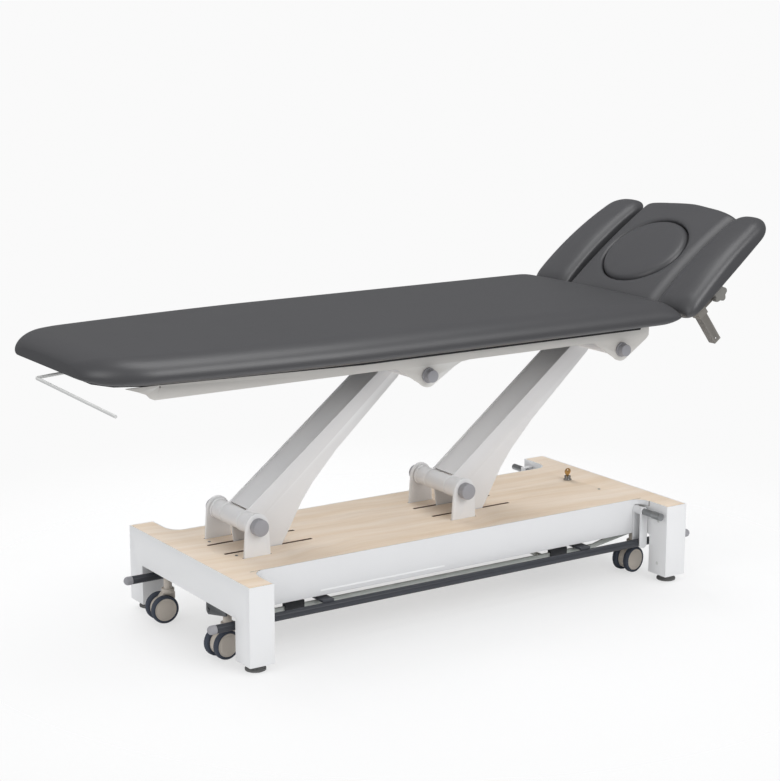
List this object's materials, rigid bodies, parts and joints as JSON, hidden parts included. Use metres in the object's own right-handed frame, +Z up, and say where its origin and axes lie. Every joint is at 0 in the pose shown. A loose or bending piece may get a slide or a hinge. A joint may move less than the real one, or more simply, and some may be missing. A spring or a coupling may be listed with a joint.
{
  "type": "electric treatment table",
  "caption": "Electric treatment table: wheeled steel base with wooden deck, two lifting arms, long padded top and tilting head section with face opening and armrests.",
  "frame": {"origin": "on the floor under the centre of the four legs", "axes": "+X along the table towards the head section, +Y across, +Z up"},
  "size_m": [2.1017, 0.7749, 1.0174],
  "materials": {
    "white_paint": "light grey powder coat, fine texture, satin",
    "frame_paint": "warm light grey powder coat, satin",
    "dark_paint": "charcoal powder coat, satin",
    "grey_steel": "zinc plated, dull",
    "cap_grey": "moulded grey, matt",
    "pale_cap": "moulded pale grey, matt",
    "birch": "pale veneer under clear lacquer, satin",
    "black_board": "stained board, matt",
    "upholstery": "dark grey imitation leather, fine grain, satin",
    "post_paint": "warm grey powder coat, satin",
    "knob_grey": "moulded warm grey, matt",
    "black_plastic": "moulded black, matt",
    "tread": "blue grey tread, matt",
    "castor_shell": "moulded greige, satin",
    "foot_rubber": "dark grey, matt",
    "brass": "brass, lightly worn",
    "nickel": "nickel plate",
    "rod_white": "pale grey powder coat, satin",
    "lever_paint": "light grey powder coat, satin"
  },
  "bodies": {
    "base": {"foot_portal": "white_paint", "head_portal": "white_paint", "near_skirt": "white_paint", "far_skirt": "white_paint", "deck": "birch", "chassis": "grey_steel", "pivot_ears": "white_paint", "lower_pivot_pins": "cap_grey", "deck_screws": "grey_steel", "leg_screws": "rod_white", "control_box": "black_plastic", "power_inlet": "black_plastic", "key_barrel": "nickel", "rail_shafts": "grey_steel", "actuator_body": "black_plastic", "bar_guides": "black_plastic"},
    "key": {"key": "brass"},
    "foot_arm": {"foot_arm": "white_paint"},
    "head_arm": {"head_arm": "white_paint"},
    "top_frame": {"near_frame_plate": "frame_paint", "far_frame_plate": "frame_paint", "frame_cross_tubes": "frame_paint", "upper_pivot_pins": "cap_grey", "main_board": "black_board", "main_cushion": "upholstery"},
    "actuator_rod": {"actuator_rod": "grey_steel"},
    "roll_rod": {"roll_rod": "rod_white"},
    "head_section": {"head_frame": "post_paint", "head_board": "black_board", "head_cushion": "upholstery"},
    "face_plug": {"face_plug": "upholstery"},
    "near_carrier": {"near_armrest_carrier": "post_paint"},
    "near_armrest": {"near_armrest": "upholstery", "near_armrest_post": "post_paint"},
    "near_knob": {"near_knob": "knob_grey"},
    "far_carrier": {"far_armrest_carrier": "post_paint"},
    "far_armrest": {"far_armrest": "upholstery", "far_armrest_post": "post_paint"},
    "far_knob": {"far_knob": "knob_grey"},
    "foot_lever": {"foot_rail_lever": "lever_paint"},
    "head_lever": {"head_rail_lever": "lever_paint"},
    "rails": {"foot_rails": "dark_paint", "rail_cross_pieces": "dark_paint", "rail_caps": "pale_cap"},
    "cam_bars": {"castor_cam_bars": "grey_steel", "castor_pedal": "black_plastic"},
    "foot_beam": {"foot_castor_beam": "grey_steel"},
    "head_beam": {"head_castor_beam": "grey_steel"},
    "castor_1": {"castor_housing_1": "castor_shell"},
    "castor_1_wheels": {"castor_wheels_1": "tread"},
    "castor_2": {"castor_housing_2": "castor_shell"},
    "castor_2_wheels": {"castor_wheels_2": "tread"},
    "castor_3": {"castor_housing_3": "castor_shell"},
    "castor_3_wheels": {"castor_wheels_3": "tread"},
    "castor_4": {"castor_housing_4": "castor_shell"},
    "castor_4_wheels": {"castor_wheels_4": "tread"},
    "levelling_foot_1": {"levelling_foot_1": "foot_rubber"},
    "levelling_foot_2": {"levelling_foot_2": "foot_rubber"},
    "levelling_foot_3": {"levelling_foot_3": "foot_rubber"},
    "levelling_foot_4": {"levelling_foot_4": "foot_rubber"}
  },
  "joints": [
    {"name": "lift", "type": "hinge", "parent": "base", "child": "foot_arm", "pos_m": [-0.5515, 0, 0.3025], "axis": [0, -1, 0], "range_deg": [-34.5, 25]},
    {"name": "head_arm_turn", "type": "hinge", "parent": "base", "child": "head_arm", "pos_m": [0.0921, 0, 0.3025], "axis": [0, -1, 0], "range_deg": [-34.5, 25]},
    {"name": "top_level", "type": "hinge", "parent": "foot_arm", "child": "top_frame", "pos_m": [-0.10758, 0, 0.66417], "axis": [0, -1, 0], "range_deg": [-25, 34.5]},
    {"name": "actuator_stroke", "type": "slide", "parent": "base", "child": "actuator_rod", "axis": [1, 0, 0], "range_m": [-0.095, 0.065]},
    {"name": "head_tilt", "type": "hinge", "parent": "top_frame", "child": "head_section", "pos_m": [0.696, 0, 0.72017], "axis": [0, -1, 0], "range_deg": [-66.5, 2]},
    {"name": "plug_lift", "type": "slide", "parent": "head_section", "child": "face_plug", "axis": [-0.5948, 0, 0.8039], "range_m": [0, 0.09]},
    {"name": "near_armrest_width", "type": "slide", "parent": "head_section", "child": "near_carrier", "axis": [0, -1, 0], "range_m": [0, 0.03]},
    {"name": "near_armrest_height", "type": "slide", "parent": "near_carrier", "child": "near_armrest", "axis": [-0.5948, 0, 0.8039], "range_m": [0, 0.08]},
    {"name": "near_knob_turn", "type": "hinge", "parent": "near_carrier", "child": "near_knob", "pos_m": [0.81925, -0.298, 0.80577], "axis": [0, -1, 0], "continuous": true},
    {"name": "far_armrest_width", "type": "slide", "parent": "head_section", "child": "far_carrier", "axis": [0, 1, 0], "range_m": [0, 0.03]},
    {"name": "far_armrest_height", "type": "slide", "parent": "far_carrier", "child": "far_armrest", "axis": [-0.5948, 0, 0.8039], "range_m": [0, 0.08]},
    {"name": "far_knob_turn", "type": "hinge", "parent": "far_carrier", "child": "far_knob", "pos_m": [0.81925, 0.298, 0.80577], "axis": [0, 1, 0], "continuous": true},
    {"name": "rod_pull", "type": "slide", "parent": "top_frame", "child": "roll_rod", "axis": [-0.9981, 0, -0.061], "range_m": [-0.01, 0.04]},
    {"name": "key_turn", "type": "hinge", "parent": "base", "child": "key", "pos_m": [0.583, 0.058, 0.239], "axis": [0, 0, 1], "range_deg": [0, 90]},
    {"name": "rail_lever_swing", "type": "hinge", "parent": "base", "child": "foot_lever", "pos_m": [-0.613, 0, 0.196], "axis": [0, 1, 0], "range_deg": [-3, 3], "stiffness_Nm_per_rad": 120},
    {"name": "head_lever_swing", "type": "hinge", "parent": "base", "child": "head_lever", "pos_m": [0.613, 0, 0.196], "axis": [0, 1, 0], "range_deg": [-3, 3]},
    {"name": "rail_level", "type": "hinge", "parent": "foot_lever", "child": "rails", "pos_m": [-0.613, 0, 0.102], "axis": [0, 1, 0], "range_deg": [-3, 3]},
    {"name": "pedal_slide", "type": "slide", "parent": "base", "child": "cam_bars", "axis": [-1, 0, 0], "range_m": [0, 0.03]},
    {"name": "foot_castor_lift", "type": "slide", "parent": "base", "child": "foot_beam", "axis": [0, 0, 1], "range_m": [0, 0.016]},
    {"name": "head_castor_lift", "type": "slide", "parent": "base", "child": "head_beam", "axis": [0, 0, 1], "range_m": [0, 0.016]},
    {"name": "castor_1_swivel", "type": "hinge", "parent": "foot_beam", "child": "castor_1", "pos_m": [-0.672, -0.163, 0.12], "axis": [0, 0, 1], "continuous": true},
    {"name": "castor_1_roll", "type": "hinge", "parent": "castor_1", "child": "castor_1_wheels", "pos_m": [-0.68983, -0.16551, 0.0375], "axis": [-0.1392, 0.9903, 0], "continuous": true},
    {"name": "castor_2_swivel", "type": "hinge", "parent": "foot_beam", "child": "castor_2", "pos_m": [-0.672, 0.163, 0.12], "axis": [0, 0, 1], "continuous": true},
    {"name": "castor_2_roll", "type": "hinge", "parent": "castor_2", "child": "castor_2_wheels", "pos_m": [-0.68996, 0.16426, 0.0375], "axis": [0.0698, 0.9976, 0], "continuous": true},
    {"name": "castor_3_swivel", "type": "hinge", "parent": "head_beam", "child": "castor_3", "pos_m": [0.648, -0.163, 0.12], "axis": [0, 0, 1], "continuous": true},
    {"name": "castor_3_roll", "type": "hinge", "parent": "castor_3", "child": "castor_3_wheels", "pos_m": [0.63022, -0.16582, 0.0375], "axis": [-0.1564, 0.9877, 0], "continuous": true},
    {"name": "castor_4_swivel", "type": "hinge", "parent": "head_beam", "child": "castor_4", "pos_m": [0.648, 0.163, 0.12], "axis": [0, 0, 1], "continuous": true},
    {"name": "castor_4_roll", "type": "hinge", "parent": "castor_4", "child": "castor_4_wheels", "pos_m": [0.63, 0.163, 0.0375], "axis": [0, 1, 0], "continuous": true},
    {"name": "levelling_foot_1_screw", "type": "slide", "parent": "base", "child": "levelling_foot_1", "axis": [0, 0, 1], "range_m": [0, 0.006]},
    {"name": "levelling_foot_2_screw", "type": "slide", "parent": "base", "child": "levelling_foot_2", "axis": [0, 0, 1], "range_m": [0, 0.006]},
    {"name": "levelling_foot_3_screw", "type": "slide", "parent": "base", "child": "levelling_foot_3", "axis": [0, 0, 1], "range_m": [0, 0.006]},
    {"name": "levelling_foot_4_screw", "type": "slide", "parent": "base", "child": "levelling_foot_4", "axis": [0, 0, 1], "range_m": [0, 0.006]}
  ],
  "couplings": [
    {"joint": "head_arm_turn", "follows": "lift", "ratio": 1},
    {"joint": "top_level", "follows": "lift", "ratio": -1},
    {"joint": "actuator_stroke", "follows": "lift", "m_per_rad": 0.13636},
    {"joint": "head_lever_swing", "follows": "rail_lever_swing", "ratio": 1},
    {"joint": "rail_level", "follows": "rail_lever_swing", "ratio": -1},
    {"joint": "foot_castor_lift", "follows": "pedal_slide", "ratio": 0.53333},
    {"joint": "head_castor_lift", "follows": "pedal_slide", "ratio": 0.53333}
  ]
}
